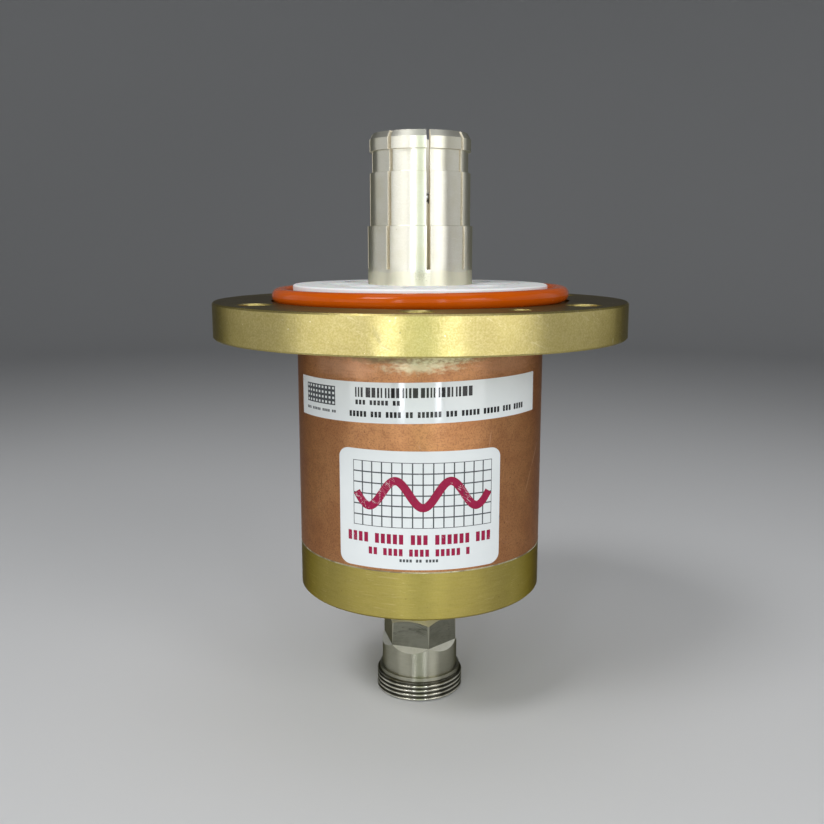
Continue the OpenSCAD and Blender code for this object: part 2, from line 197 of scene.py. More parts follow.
class EffectGraph(Graph):
    """The nodes of one effect's group, with a method for each effect that returns its mask."""

    NOISE_MIDDLE = 0.5
    DETAIL = 3.0
    FINE_DETAIL = 6.0
    RING_CONTRAST = 0.6
    LEAST_SPECK = 0.35
    SPECK_CORE = 0.5
    GATE_SCALE = 0.09
    PATCH_REACH = 1.05
    STROKE_END = 0.15

    def __init__(self, tree: bpy.types.NodeTree) -> None:
        """Start with the place of the point and with the group's inputs.

        Args:
            tree: the group's own tree.
        """
        super().__init__(tree)
        self.at = Place.read(self)
        self.given = self.put("NodeGroupInput").outputs

    def noise(self, point: Socket, detail: float | Socket = DETAIL) -> Socket:
        """Return fractal noise from 0 to 1 at a point of unit grain."""
        return self.put("TexNoise", {"Vector": point, "Scale": 1.0, "Detail": detail}).outputs[0]

    def centred(self, noise: Socket) -> Socket:
        """Return noise that is brought about zero."""
        return self.math("SUBTRACT", noise, self.NOISE_MIDDLE)

    def grained(self, point: Socket, grain: Socket) -> Socket:
        """Return a point divided by the size of a grain."""
        return self.vector("SCALE", point, Scale=self.math("DIVIDE", 1.0, grain))

    def ragged(self, point: Socket) -> Socket:
        """Return an uneven shift about zero, as large as the input Ragged asks."""
        noise = self.noise(self.grained(point, self.given["Grain"]), self.FINE_DETAIL)
        return self.math("MULTIPLY", self.centred(noise), self.given["Ragged"])

    def arc(self, azimuth: Socket) -> Socket:
        """Return the length round the wall from the front to an azimuth."""
        return self.math("MULTIPLY", self.math("RADIANS", azimuth), self.at.radius)

    def unrolled(self, azimuth: Socket, height: Socket) -> Socket:
        """Return a place on a round wall as a point of the wall laid flat."""
        return self.put("CombineXYZ", {0: self.arc(azimuth), 1: height}).outputs[0]

    def away(self, value: Socket, middle: str, half: str) -> Socket:
        """Return the square of a value's distance from a middle, in halves of a width."""
        off = self.math("ABSOLUTE", self.math("SUBTRACT", value, self.given[middle]))
        return self.math("POWER", self.math("DIVIDE", off, self.given[half]), 2.0)

    def within(self, value: Socket) -> Socket:
        """Tell where a value lies between the inputs Low and High.

        Args:
            value: the value.

        Returns:
            The mask.
        """
        low, high, soft = (self.given[name] for name in ("Low", "High", "Soft"))
        over = self.smooth(value, low, self.math("ADD", low, soft))
        under = self.smooth(value, high, self.math("SUBTRACT", high, soft))
        return self.math("MULTIPLY", over, under)

    def turning(self) -> Socket:
        """Lay fine rings round the axis, which vary slowly along each ring.

        Returns:
            The mask.
        """
        sides = [self.math("DIVIDE", side, self.at.radius) for side in (self.at.x, self.at.y)]
        sides = [self.math("MULTIPLY", side, self.given["Round"]) for side in sides]
        ring = self.put("CombineXYZ", dict(enumerate(sides))).outputs[0]
        across = self.math("MULTIPLY", self.at.radius, self.given["Across"])
        along = self.math("DIVIDE", self.math("ADD", across, self.at.z), self.given["Pitch"])
        inputs = {"Vector": ring, "W": along, "Scale": 1.0, "Detail": self.DETAIL,
                  "Roughness": self.RING_CONTRAST}
        return self.put("TexNoise", inputs, noise_dimensions="4D").outputs[0]

    def blotches(self) -> Socket:
        """Return the mask of soft-edged areas of uneven shape."""
        noise = self.noise(self.grained(self.at.point, self.given["Size"]), self.given["Detail"])
        return self.smooth(noise, self.given["Low"], self.given["High"])

    def specks(self) -> Socket:
        """Scatter small round spots at uneven places.

        Returns:
            The mask.
        """
        point = self.grained(self.at.point, self.given["Spacing"])
        cells = self.put("TexVoronoi", {"Vector": point, "Scale": 1.0}).outputs
        chance, growth, _ = self.put("SeparateColor", {0: cells["Color"]}).outputs
        kept = self.math("LESS_THAN", chance, self.given["Share"])
        growth = self.math("ADD", self.LEAST_SPECK, growth)
        size = self.math("MULTIPLY", self.given["Size"], growth)
        core = self.math("MULTIPLY", size, self.SPECK_CORE)
        return self.math("MULTIPLY", kept, self.smooth(cells["Distance"], size, core))

    def scratches(self) -> Socket:
        """Draw sparse hair scratches that cross the turning marks at a slant.

        Returns:
            The mask.
        """
        arc = self.arc(self.at.azimuth)
        across = self.math("ADD", self.at.z, self.at.radius)
        slant = self.math("MULTIPLY_ADD", arc, self.given["Tilt"], across)
        point = self.put("CombineXYZ", {
            0: self.math("DIVIDE", slant, self.given["Spacing"]),
            1: self.math("DIVIDE", arc, self.given["Length"]),
        }).outputs[0]
        level = self.math("ABSOLUTE", self.centred(self.noise(point, 1.0)))
        line = self.smooth(level, self.given["Width"], 0.0)
        gate = self.noise(self.vector("SCALE", self.at.point, Scale=self.GATE_SCALE))
        return self.math("MULTIPLY", line, self.math("LESS_THAN", gate, self.given["Share"]))

    def patch(self) -> Socket:
        """Lay a stain with a ragged edge about a place.

        Returns:
            The mask.
        """
        side = self.away(self.at.azimuth, "Azimuth", "Half Width")
        rise = self.away(self.at.z, "Height", "Half Height")
        far = self.math("SQRT", self.math("ADD", side, rise))
        tall = self.math("MULTIPLY", self.at.z, self.given["Stretch"])
        point = self.put("CombineXYZ", {0: self.at.x, 1: self.at.y, 2: tall}).outputs[0]
        full = self.math("SUBTRACT", self.PATCH_REACH, self.given["Soft"])
        return self.smooth(self.math("ADD", far, self.ragged(point)), self.PATCH_REACH, full)

    def stroke(self) -> Socket:
        """Draw one straight scratch between two places on a round wall.

        Returns:
            The mask.
        """
        start = self.unrolled(self.given["Azimuth A"], self.given["Height A"])
        end = self.unrolled(self.given["Azimuth B"], self.given["Height B"])
        run = self.vector("SUBTRACT", end, start)
        here = self.vector("SUBTRACT", self.unrolled(self.at.azimuth, self.at.z), start)
        reach, whole = (self.vector("DOT_PRODUCT", v, run, output="Value") for v in (here, run))
        along = self.math("DIVIDE", reach, whole, clamp=True)
        off = self.vector("SUBTRACT", here, self.vector("SCALE", run, Scale=along))
        swell = self.math("SINE", self.math("MULTIPLY", along, math.pi))
        swell = self.math("ADD", self.STROKE_END, swell)
        width = self.math("MULTIPLY", self.given["Width"], swell)
        return self.smooth(self.vector("LENGTH", off, output="Value"), width, 0.0)

    def band(self) -> Socket:
        """Return the mask of a band between two heights, with a ragged edge if asked."""
        return self.within(self.math("ADD", self.at.z, self.ragged(self.at.point)))

    def radial_band(self) -> Socket:
        """Return the mask of a band between two radii."""
        return self.within(self.at.radius)


class EffectKit:
    """Builds the shared node groups once and places them in finishes."""

    def __init__(self) -> None:
        """Build every group."""
        self.groups = {effect: self.group(effect) for effect in Effect}

    @staticmethod
    def group(effect: Effect) -> bpy.types.NodeTree:
        """Build one effect's group.

        Args:
            effect: the effect, which gives the group its name, inputs and nodes.

        Returns:
            The node group.
        """
        tree = bpy.data.node_groups.new(effect.title, "ShaderNodeTree")
        for name in effect.inputs:
            tree.interface.new_socket(name, in_out="INPUT", socket_type="NodeSocketFloat")
        tree.interface.new_socket("Mask", in_out="OUTPUT", socket_type="NodeSocketFloat")
        graph = EffectGraph(tree)
        makers = {
            Effect.TURNING: graph.turning, Effect.BLOTCHES: graph.blotches,
            Effect.SPECKS: graph.specks, Effect.SCRATCHES: graph.scratches,
            Effect.PATCH: graph.patch, Effect.STROKE: graph.stroke,
            Effect.BAND: graph.band, Effect.RADIAL_BAND: graph.radial_band,
        }
        graph.put("NodeGroupOutput", {"Mask": makers[effect]()})
        return tree

    def place(self, graph: Graph, effect: Effect, numbers: tuple[float, ...]) -> Socket:
        """Place an effect in a finish, with numbers for its inputs, and return its mask."""
        inputs = dict(zip(effect.inputs, numbers))
        return graph.put("Group", inputs, node_tree=self.groups[effect]).outputs["Mask"]


@dataclass(frozen=True)
class Layer:
    """One effect laid over a finish, with numbers for its inputs, and what it changes there.

    share is how far the mask reaches at its strongest, and height is in millimetres.
    """

    effect: Effect
    numbers: tuple[float, ...]
    colour: Colour | None = None
    share: float = 1.0
    roughness: float | None = None
    height: float = 0.0
    metallic: float | None = None


def turning(pitch: float, around: float, colour: Colour, across: float = 1.0,
            **change: float) -> Layer:
    """Return rings a pitch apart, which vary along themselves at the rate around."""
    return Layer(Effect.TURNING, (pitch, around, across), colour, **change)


def blotches(size: float, low: float, high: float, colour: Colour | None = None,
             detail: float = 5.0, **change: float) -> Layer:
    """Return areas of a size where noise passes low, whole where it passes high."""
    return Layer(Effect.BLOTCHES, (size, low, high, detail), colour, **change)


def specks(spacing: float, size: float, cover: float, colour: Colour, **change: float) -> Layer:
    """Return spots of a size, in the share cover of places a spacing apart."""
    return Layer(Effect.SPECKS, (spacing, size, cover), colour, **change)


def scratches(spacing: float, length: float, width: float, cover: float, colour: Colour,
              tilt: float = 0.5, **change: float) -> Layer:
    """Return hair scratches a spacing apart, where a coarse noise is under cover."""
    return Layer(Effect.SCRATCHES, (spacing, length, width, cover, tilt), colour, **change)


def patch(middle: Pair, half: Pair, colour: Colour, ragged: float, grain: float, soft: float,
          stretch: float = 1.0, **change: float) -> Layer:
    """Return a stain about an azimuth and a height, with half its width and height."""
    numbers = (*middle, *half, ragged, grain, stretch, soft)
    return Layer(Effect.PATCH, numbers, colour, **change)


def stroke(start: Pair, end: Pair, width: float, colour: Colour, **change: float) -> Layer:
    """Return one scratch from one azimuth and height to another."""
    return Layer(Effect.STROKE, (*start, *end, width), colour, **change)


def band(low: float, high: float, soft: float, colour: Colour | None = None,
         ragged: float = 0.0, grain: float = 2.0, **change: float) -> Layer:
    """Return a band between two heights, with edges of a softness."""
    return Layer(Effect.BAND, (low, high, soft, ragged, grain), colour, **change)


def radial_band(low: float, high: float, soft: float, colour: Colour, **change: float) -> Layer:
    """Return a band between two radii, with edges of a softness."""
    return Layer(Effect.RADIAL_BAND, (low, high, soft), colour, **change)


@dataclass(frozen=True)
class Finish:
    """A finish: its plain values and the layers over them, from the bottom up.

    gloss is how much a non-metal mirrors, rim tints what is mirrored at a glance, and
    spread draws what is mirrored out across the turning marks.
    """

    ACROSS_THE_MARKS = 0.25

    name: str
    colour: Colour
    roughness: float
    metallic: float = 0.0
    spread: float = 0.0
    coat: float = 0.0
    coat_roughness: float = 0.05
    coat_ior: float = 1.5
    subsurface: float = 0.0
    gloss: float = 0.5
    rim: Colour = (1.0, 1.0, 1.0)
    layers: tuple[Layer, ...] = ()

    def make(self, kit: EffectKit) -> bpy.types.Material:
        """Build the material.

        Args:
            kit: the shared effects.

        Returns:
            The material.
        """
        material = bpy.data.materials.new(self.name)
        material.use_nodes = True
        material.diffuse_color = rgba(self.colour)
        graph = Graph(material.node_tree)
        shader = material.node_tree.nodes["Principled BSDF"].inputs
        colour, roughness, height = rgba(self.colour), self.roughness, 0.0
        metallic: float | Socket = self.metallic
        for layer in self.layers:
            mask = kit.place(graph, layer.effect, layer.numbers)
            share = graph.math("MULTIPLY", mask, layer.share)
            if layer.colour is not None:
                colour = graph.blend(share, colour, rgba(layer.colour))
            if layer.roughness is not None:
                roughness = graph.between(share, roughness, layer.roughness)
            if layer.metallic is not None:
                metallic = graph.between(share, metallic, layer.metallic)
            if layer.height:
                height = graph.math("MULTIPLY_ADD", mask, layer.height, height)
        values = {
            "Base Color": colour, "Roughness": roughness, "Metallic": metallic,
            "Coat Weight": self.coat, "Coat Roughness": self.coat_roughness,
            "Coat IOR": self.coat_ior, "Subsurface Weight": self.subsurface,
            "Subsurface Scale": MM, "Specular IOR Level": self.gloss,
            "Specular Tint": rgba(self.rim),
        }
        if isinstance(height, Socket):
            bump = graph.put("Bump", {"Strength": 1.0, "Distance": MM, "Height": height})
            values["Normal"] = bump.outputs[0]
        if self.spread:
            tangent = graph.put("Tangent", direction_type="RADIAL", axis="Z")
            values["Tangent"] = tangent.outputs[0]
            values["Anisotropic"] = self.spread
            values["Anisotropic Rotation"] = self.ACROSS_THE_MARKS
        for name, value in values.items():
            graph.feed(shader[name], value)
        return material


# A layer's plain numbers are the arguments of its function above, in their order.
FLANGE_BRASS = Finish(
    "flange_brass", (0.61, 0.505, 0.145), 0.35, metallic=1.0, spread=0.6, coat=0.3,
    coat_roughness=0.26, coat_ior=1.7, rim=(0.16, 0.14, 0.08),
    layers=(
        blotches(3.4, 0.25, 0.75, height=0.035),
        blotches(16.0, 0.42, 0.62, (0.5, 0.4, 0.11), share=0.6, roughness=0.4),
        turning(1.3, 7.0, (0.38, 0.3, 0.08), share=0.35, roughness=0.44, height=0.006),
        turning(0.35, 12.0, (0.82, 0.7, 0.34), share=0.3, roughness=0.32, height=0.003),
        blotches(0.5, 0.35, 0.68, (0.84, 0.73, 0.38), share=0.4, roughness=0.27, height=0.008),
        blotches(1.4, 0.45, 0.75, (0.46, 0.36, 0.1), detail=8.0, share=0.16, roughness=0.4),
        specks(1.6, 0.16, 0.14, (0.94, 0.88, 0.58), share=0.55, roughness=0.2, height=-0.006),
        specks(2.6, 0.12, 0.12, (0.26, 0.21, 0.08), share=0.55, roughness=0.5),
        band(-3.0, -0.03, 0.5, share=0.25, roughness=0.36),
        # The flange's top face in dark brass: painted shade.
        band(-0.03, 0.2, 0.02, (0.24, 0.19, 0.08), share=0.8, roughness=0.4),
        stroke((-10.7, -2.8), (-8.7, -8.0), 0.9, (0.4, 0.33, 0.13), share=0.4, roughness=0.5),
        stroke((-8.8, -7.9), (-6.2, -9.3), 0.6, (0.4, 0.33, 0.13), share=0.35, roughness=0.5),
        stroke((57.0, -8.8), (57.3, -10.8), 0.35, (0.92, 0.86, 0.55), share=0.7, roughness=0.2),
        scratches(1.6, 9.0, 0.012, 0.45, (0.9, 0.8, 0.46), share=0.4, roughness=0.25),
        scratches(0.7, 5.0, 0.03, 0.5, (0.8, 0.7, 0.34), tilt=-0.7, share=0.3, roughness=0.3),
    ),
)
CAP_BRASS = Finish(
    "cap_brass", (0.54, 0.44, 0.085), 0.36, metallic=1.0, spread=0.6, coat=0.1,
    coat_roughness=0.3, rim=(0.16, 0.13, 0.06),
    layers=(
        blotches(22.0, 0.4, 0.65, (0.39, 0.31, 0.065), share=0.6, roughness=0.43),
        turning(1.1, 6.0, (0.24, 0.185, 0.035), share=0.6, roughness=0.46, height=0.01),
        turning(0.35, 11.0, (0.62, 0.52, 0.2), share=0.45, roughness=0.34, height=0.004),
        scratches(0.8, 16.0, 0.02, 0.5, (0.72, 0.62, 0.28), tilt=0.02, share=0.35, roughness=0.3),
        blotches(0.5, 0.3, 0.7, (0.58, 0.48, 0.17), share=0.25, roughness=0.34, height=0.004),
        specks(2.2, 0.14, 0.12, (0.3, 0.22, 0.06), share=0.6),
    ),
)
TUBE_COPPER = Finish(
    "tube_copper", (0.6, 0.288, 0.108), 0.42, metallic=1.0, spread=0.5, coat=0.35,
    coat_roughness=0.34, coat_ior=1.7, rim=(0.34, 0.22, 0.12),
    layers=(
        blotches(15.0, 0.38, 0.64, (0.42, 0.165, 0.052), share=0.6, roughness=0.5),
        blotches(3.2, 0.4, 0.7, (0.36, 0.135, 0.044), detail=8.0, share=0.4, roughness=0.52),
        turning(1.6, 3.0, (0.66, 0.31, 0.14), share=0.4, roughness=0.38, height=0.004),
        blotches(0.5, 0.4, 0.74, (0.22, 0.078, 0.03), detail=3.0, share=0.45, roughness=0.54,
                 height=-0.003),
        specks(1.5, 0.17, 0.28, (0.14, 0.055, 0.022), share=0.65, roughness=0.6),
        patch((-34.0, -17.6), (26.0, 5.0), (0.78, 0.44, 0.27), ragged=1.3, grain=5.0, stretch=7.0,
              soft=0.95, share=0.5, roughness=0.3),
        patch((42.0, -17.4), (30.0, 4.6), (0.72, 0.38, 0.21), ragged=1.5, grain=5.0, stretch=7.0,
              soft=0.95, share=0.45, roughness=0.32),
        # A dark greenish patch just below the flange: painted shadow under the flange, with a
        # greenish flux stain.
        patch((-2.0, -14.8), (40.0, 1.9), (0.19, 0.16, 0.075), ragged=0.9, grain=2.5, stretch=2.0,
              soft=0.7, share=0.75, roughness=0.5, height=-0.02),
        # Darker copper in a ragged band under the flange: painted shade.
        band(-15.4, -11.0, 2.0, (0.24, 0.14, 0.06), ragged=2.5, grain=1.2, share=0.6,
             roughness=0.6, height=0.01),
        patch((-1.0, -17.0), (19.0, 2.4), (0.8, 0.8, 0.54), ragged=2.0, grain=2.2, stretch=2.2,
              soft=0.95, share=0.6, roughness=0.36, height=0.02, metallic=0.8),
        patch((3.0, -12.4), (42.0, 3.2), (0.5, 0.44, 0.19), ragged=2.6, grain=1.5, stretch=2.2,
              soft=0.9, share=0.6, roughness=0.5, height=0.04, metallic=0.7),
        patch((10.0, -14.2), (17.0, 3.4), (0.78, 0.75, 0.46), ragged=2.6, grain=1.2, stretch=1.8,
              soft=1.0, share=0.65, roughness=0.42, height=0.04, metallic=0.6),
        stroke((69.5, -43.7), (61.6, -50.8), 0.36, (0.86, 0.58, 0.38), share=0.9, roughness=0.3),
        stroke((61.9, -50.4), (55.0, -59.0), 0.28, (0.84, 0.56, 0.36), share=0.8, roughness=0.3),
        stroke((32.2, -36.3), (31.0, -42.2), 0.22, (0.76, 0.46, 0.28), share=0.6),
        scratches(2.4, 12.0, 0.01, 0.42, (0.75, 0.45, 0.27), tilt=0.9, share=0.3),
    ),
)
PLUG_BRASS = Finish(
    "plug_brass", (0.66, 0.54, 0.27), 0.28, metallic=1.0, spread=0.5,
    layers=(
        turning(0.4, 6.0, (0.54, 0.43, 0.2), share=0.4, roughness=0.36, height=0.005),
    ),
)
SOLDER = Finish(
    "solder", (0.5, 0.47, 0.33), 0.4, metallic=1.0,
    layers=(
        blotches(1.6, 0.3, 0.7, (0.8, 0.76, 0.5), share=0.8, roughness=0.28, height=0.1),
        blotches(5.0, 0.45, 0.6, (0.2, 0.12, 0.06), share=0.7, roughness=0.6),
    ),
)
SEAL_RUBBER = Finish(
    "seal_rubber", (0.54, 0.088, 0.001), 0.13, gloss=0.18,
    layers=(
        blotches(14.0, 0.35, 0.7, (0.47, 0.071, 0.001), share=0.5, roughness=0.16),
        specks(2.6, 0.12, 0.14, (0.78, 0.3, 0.14), share=0.3, roughness=0.6),
        blotches(1.2, 0.2, 0.8, share=0.3, roughness=0.18, height=0.002),
    ),
)
INSULATOR_PLASTIC = Finish(
    "insulator_plastic", (0.9, 0.905, 0.915), 0.42, subsurface=0.1,
    layers=(
        turning(0.9, 4.0, (0.8, 0.81, 0.83), share=0.4, roughness=0.5, height=0.004),
        blotches(9.0, 0.45, 0.7, (0.8, 0.81, 0.82), share=0.35),
        specks(3.5, 0.09, 0.12, (0.45, 0.42, 0.36), share=0.35),
    ),
)
SILVER_PLATE = Finish(
    "silver_plate", (0.88, 0.865, 0.765), 0.34, metallic=1.0, spread=0.8, rim=(0.8, 0.78, 0.62),
    layers=(
        blotches(9.0, 0.42, 0.68, (0.78, 0.75, 0.57), share=0.6, roughness=0.38),
        turning(0.9, 5.0, (0.66, 0.64, 0.49), share=0.35, roughness=0.4, height=0.004),
        turning(0.25, 8.0, (0.96, 0.95, 0.88), share=0.3, roughness=0.32, height=0.002),
        blotches(0.4, 0.3, 0.7, (0.74, 0.72, 0.58), share=0.3, height=0.004),
        band(4.0, 9.6, 0.5, (0.9, 0.87, 0.68), ragged=2.4, grain=7.0, share=0.7, roughness=0.46,
             metallic=0.8),
        # The tip's chamfer in darker grey: painted shade; its rougher finish is its own.
        band(49.5, 60.0, 0.1, (0.5, 0.495, 0.45), share=0.8, roughness=0.62),
        specks(1.8, 0.11, 0.1, (0.45, 0.4, 0.24), share=0.5, roughness=0.4),
        patch((0.0, 8.4), (8.0, 1.8), (0.42, 0.4, 0.3), ragged=3.4, grain=0.45, soft=0.9,
              share=0.35),
        scratches(1.2, 7.0, 0.012, 0.45, (0.97, 0.95, 0.88), tilt=0.2, share=0.4),
    ),
)
SAWN_METAL = Finish(
    "sawn_metal", (0.9, 0.83, 0.68), 0.6, gloss=0.3,
    layers=(
        blotches(0.5, 0.3, 0.7, (0.66, 0.59, 0.44), share=0.5, roughness=0.7, height=0.03),
    ),
)
BORED_PLATE = Finish(
    "bored_plate", (0.95, 0.92, 0.82), 0.5, gloss=0.4,
    layers=(
        turning(0.5, 3.0, (0.86, 0.82, 0.68), share=0.6, roughness=0.6, height=0.01),
    ),
)
BACKING_PLATE = Finish(
    "backing_plate", (0.95, 0.9, 0.78), 0.6, gloss=0.3,
    layers=(
        turning(0.6, 3.0, (0.8, 0.74, 0.6), share=0.6, height=0.01),
    ),
)
SPRING_STEEL = Finish(
    "spring_steel", (0.36, 0.36, 0.35), 0.25, metallic=1.0,
    layers=(
        blotches(1.0, 0.3, 0.7, (0.22, 0.22, 0.21), share=0.5, roughness=0.38, height=0.004),
    ),
)
SCREW_STEEL = Finish(
    "screw_steel", (0.56, 0.55, 0.5), 0.34, metallic=0.6,
    layers=(
        turning(0.3, 6.0, (0.34, 0.34, 0.33), share=0.5, roughness=0.4, height=0.004),
        blotches(2.5, 0.4, 0.7, (0.32, 0.31, 0.29), share=0.4),
    ),
)
SHELL_PLATE = Finish(
    "shell_plate", (0.47, 0.465, 0.375), 0.3, metallic=1.0, spread=1.0, rim=(0.2, 0.19, 0.14),
    layers=(
        blotches(7.0, 0.4, 0.65, (0.35, 0.34, 0.255), share=0.5, roughness=0.32),
        turning(0.9, 3.0, (0.27, 0.265, 0.195), share=0.4, roughness=0.34, height=0.045),
        turning(0.3, 5.0, (0.62, 0.615, 0.52), share=0.35, roughness=0.26, height=0.04),
        specks(1.5, 0.12, 0.1, (0.13, 0.12, 0.08), share=0.5),
    ),
)
THREAD_PLATE = Finish(
    "thread_plate", (0.76, 0.755, 0.65), 0.21, metallic=1.0, spread=1.0, rim=(0.4, 0.38, 0.3),
    layers=(
        blotches(3.0, 0.4, 0.65, (0.38, 0.37, 0.29), share=0.5, roughness=0.24),
        turning(0.5, 14.0, (0.84, 0.83, 0.73), share=0.4, roughness=0.2, height=0.006),
        # Dark thread roots: painted shade in the grooves between the crests.
        radial_band(12.0, 14.5, 0.32, (0.07, 0.066, 0.046), share=0.9, roughness=0.4),
    ),
)
MILLED_PLATE = Finish(
    "milled_plate", (0.3, 0.3, 0.24), 0.34, metallic=1.0, rim=(0.4, 0.38, 0.3),
    layers=(
        turning(1.4, 1.2, (0.13, 0.13, 0.1), across=0.0, share=0.9, roughness=0.42, height=0.02),
        turning(0.35, 1.8, (0.4, 0.4, 0.33), across=0.0, share=0.35, roughness=0.32, height=0.006),
        scratches(0.8, 12.0, 0.02, 0.48, (0.06, 0.06, 0.05), tilt=0.05, share=0.5, roughness=0.4),
        patch((-2.0, -108.6), (17.0, 1.0), (0.05, 0.05, 0.04), ragged=2.6, grain=2.4, stretch=5.0,
              soft=0.9, share=0.45),
        blotches(4.0, 0.42, 0.66, (0.15, 0.15, 0.11), share=0.4),
    ),
)
CUTTER_PLATE = Finish(
    "cutter_plate", (0.84, 0.85, 0.8), 0.5, metallic=0.65,
    layers=(
        turning(0.9, 2.0, (0.42, 0.42, 0.37), share=0.6, roughness=0.5, height=0.012),
        blotches(0.8, 0.3, 0.7, (0.86, 0.86, 0.8), share=0.3, height=0.006),
    ),
)
LABEL_FILM = Finish(
    "label_film", (0.76, 0.79, 0.8), 0.5, coat=1.0, coat_roughness=0.1, coat_ior=1.75, gloss=0.2,
    layers=(
        blotches(6.0, 0.2, 0.8, (0.72, 0.755, 0.77), share=0.5, height=0.05),
        specks(3.0, 0.07, 0.2, (0.45, 0.42, 0.38), share=0.4),
        scratches(2.2, 6.0, 0.012, 0.42, (0.7, 0.72, 0.73), tilt=1.2, share=0.3, roughness=0.5),
    ),
)


def ink(name: str, colour: Colour, worn: float, coat_ior: float) -> Finish:
    """Return a printed ink's finish.

    Args:
        name: the finish's name.
        colour: the ink's colour.
        worn: how far its scratches show the film.
        coat_ior: how strongly its gloss mirrors the lamps.

    Returns:
        The finish.
    """
    gain, lift = PALER
    paler = tuple(min(1.0, share * gain + lift) for share in colour)
    return Finish(
        name, colour, 0.6, coat=1.0, coat_roughness=0.1, coat_ior=coat_ior, gloss=0.1,
        layers=(
            blotches(1.5, 0.3, 0.8, paler, share=0.4),
            scratches(1.3, 3.0, 0.02, 0.47, (0.72, 0.7, 0.7), tilt=0.8, share=worn),
        ),
    )


CRIMSON_INK = ink("crimson_ink", (0.29, 0.002, 0.045), 0.5, 1.35)
GREY_INK = ink("grey_ink", (0.06, 0.067, 0.073), 0.2, 1.6)
BLACK_INK = ink("black_ink", (0.006, 0.006, 0.007), 0.15, 1.5)


def revolve(points: list[Vector], closed: bool) -> BMesh:
    """Spin a profile once round the axis.

    Args:
        points: the profile's corners in metres, in their order.
        closed: whether the last corner is joined to the first.

    Returns:
        The surface, closed where it meets itself.
    """
    mesh = bmesh.new()
    verts = [mesh.verts.new(point) for point in points]
    for first, second in list(zip(verts[-1:] + verts, verts))[0 if closed else 1:]:
        mesh.edges.new((first, second))
    bmesh.ops.spin(mesh, geom=mesh.verts[:] + mesh.edges[:], cent=(0, 0, 0), axis=(0, 0, 1),
                   angle=2 * math.pi, steps=ROUND_STEPS, use_merge=True)
    bmesh.ops.remove_doubles(mesh, verts=mesh.verts, dist=WELD)
    bmesh.ops.recalc_face_normals(mesh, faces=mesh.faces)
    return mesh


def is_sharp(edge: bmesh.types.BMEdge) -> bool:
    """Say whether two faces meet at an edge that a maker would ease."""
    return edge.is_manifold and edge.calc_face_angle() > SHARP_EDGE


def ease(mesh: BMesh, edges: list[bmesh.types.BMEdge], width: float) -> None:
    """Round some edges of a mesh over a width in millimetres."""
    bmesh.ops.bevel(mesh, geom=edges, offset=width * MM, offset_type="OFFSET", affect="EDGES",
                    segments=2, profile=0.5, material=-1, clamp_overlap=True)


class Workshop:
    """Keeps the finishes that were made and turns bmeshes into pieces."""

    def __init__(self) -> None:
        """Start with the shared effects and no finish."""
        self.kit = EffectKit()
        self.made: dict[str, bpy.types.Material] = {}

    def material(self, finish: Finish) -> bpy.types.Material:
        """Find a finish's material, made on its first use.

        Args:
            finish: the finish.

        Returns:
            The material.
        """
        if finish.name not in self.made:
            self.made[finish.name] = finish.make(self.kit)
        return self.made[finish.name]

    def dress(self, finishes: dict[str, Finish]) -> None:
        """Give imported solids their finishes, in their own objects' slots.

        Args:
            finishes: the finish of each solid, by the solid's node.
        """
        for node, finish in finishes.items():
            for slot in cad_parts[node].material_slots:
                slot.material = self.material(finish)
            LOG.info("%s dressed in %s", node, finish.name)

    @staticmethod
    def solid_copy(node: str) -> BMesh:
        """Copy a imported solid's mesh and merge its doubles.

        Args:
            node: the solid's node.

        Returns:
            The copy.
        """
        mesh = bmesh.new()
        mesh.from_mesh(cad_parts[node].data)
        bmesh.ops.remove_doubles(mesh, verts=mesh.verts, dist=WELD)
        return mesh

    def piece(self, name: str, mesh: BMesh, slot: str, *finishes: Finish,
              sharp: float = 30.0, weighted: bool = False) -> bpy.types.Object:
        """Turn a bmesh into a piece that rides on the adapter.

        Args:
            name: the piece's name.
            mesh: its shape in metres, which is freed.
            slot: not used.
            finishes: one for each material index of its faces.
            sharp: the least angle in degrees between faces that meet at a sharp edge.
            weighted: whether large faces keep their own direction at their eased edges.

        Returns:
            The piece's object.
        """
        data = bpy.data.meshes.new(name)
        mesh.to_mesh(data)
        mesh.free()
        if "custom_normal" in data.attributes:
            data.attributes.remove(data.attributes["custom_normal"])
        data.shade_smooth()
        data.set_sharp_from_angle(angle=math.radians(sharp))
        if weighted:
            data.normals_split_custom_set(self.weighted_normals(data, sharp))
        for finish in finishes:
            data.materials.append(self.material(finish))
        piece = bpy.data.objects.new(name, data)
        bpy.context.scene.collection.objects.link(piece)
        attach(piece, "root")
        LOG.info("%s made, %d faces", name, len(data.polygons))
        return piece

    @staticmethod
    def weighted_normals(data: bpy.types.Mesh, sharp: float) -> list[Vector]:
        """Weight the normals at each corner by the area of the faces round it.

        Args:
            data: the mesh.
            sharp: the angle in degrees from which a face no longer counts.

        Returns:
            A normal for each corner of each face.
        """
        around: list[list[bpy.types.MeshPolygon]] = [[] for _ in data.vertices]
        for face in data.polygons:
            for vert in face.vertices:
                around[vert].append(face)
        least, normals = math.cos(math.radians(sharp)), []
        for face in data.polygons:
            for vert in face.vertices:
                near = (other.normal * other.area for other in around[vert]
                        if other.normal.dot(face.normal) > least)
                normals.append(sum(near, Vector()).normalized())
        return normals


